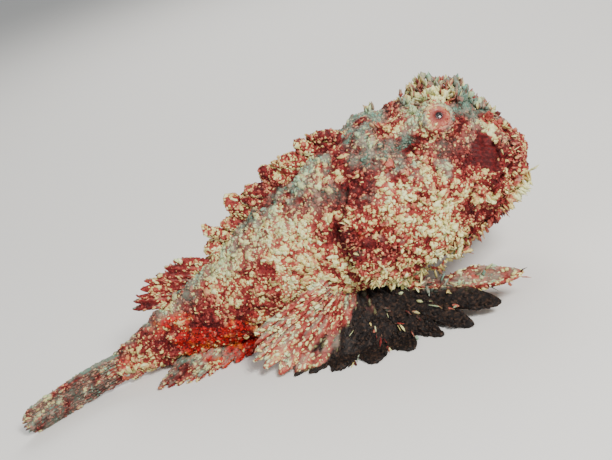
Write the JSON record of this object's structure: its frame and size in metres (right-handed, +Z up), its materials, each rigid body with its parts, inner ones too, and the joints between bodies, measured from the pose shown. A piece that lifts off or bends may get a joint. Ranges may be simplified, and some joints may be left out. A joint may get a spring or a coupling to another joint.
{
  "type": "false stonefish, a bearded scorpionfish",
  "caption": "Still life-size model of a false stonefish: a stout bottom-dwelling fish with a fringed jaw, fleshy spines and spread side fins, propped on its fins and tail.",
  "frame": {"origin": "on the floor, under the middle of the whole fish's box", "axes": "+X towards the snout, +Y towards the fish's left side, +Z up"},
  "size_m": [0.311, 0.1378, 0.1123],
  "materials": {
    "skin": "matte, mottled rose, crimson and cream",
    "gill_flap": "matte, cream clumps over rose",
    "fin": "matte, speckled cream on dark rose",
    "eye": "moist, pink with a small dark pupil"
  },
  "bodies": {
    "root": {"head": "skin", "lower_jaw": "skin", "trunk": "skin", "tail_stem": "skin", "gill_cover_right": "gill_flap", "gill_cover_left": "gill_flap", "eye_right": "eye", "eye_left": "eye", "pectoral_fin_right": "fin", "pectoral_fin_left": "fin", "pelvic_fin_right": "fin", "pelvic_fin_left": "fin", "dorsal_fin_spiny": "fin", "dorsal_fin_soft": "fin", "anal_fin": "fin", "caudal_fin": "fin"}
  },
  "joints": []
}
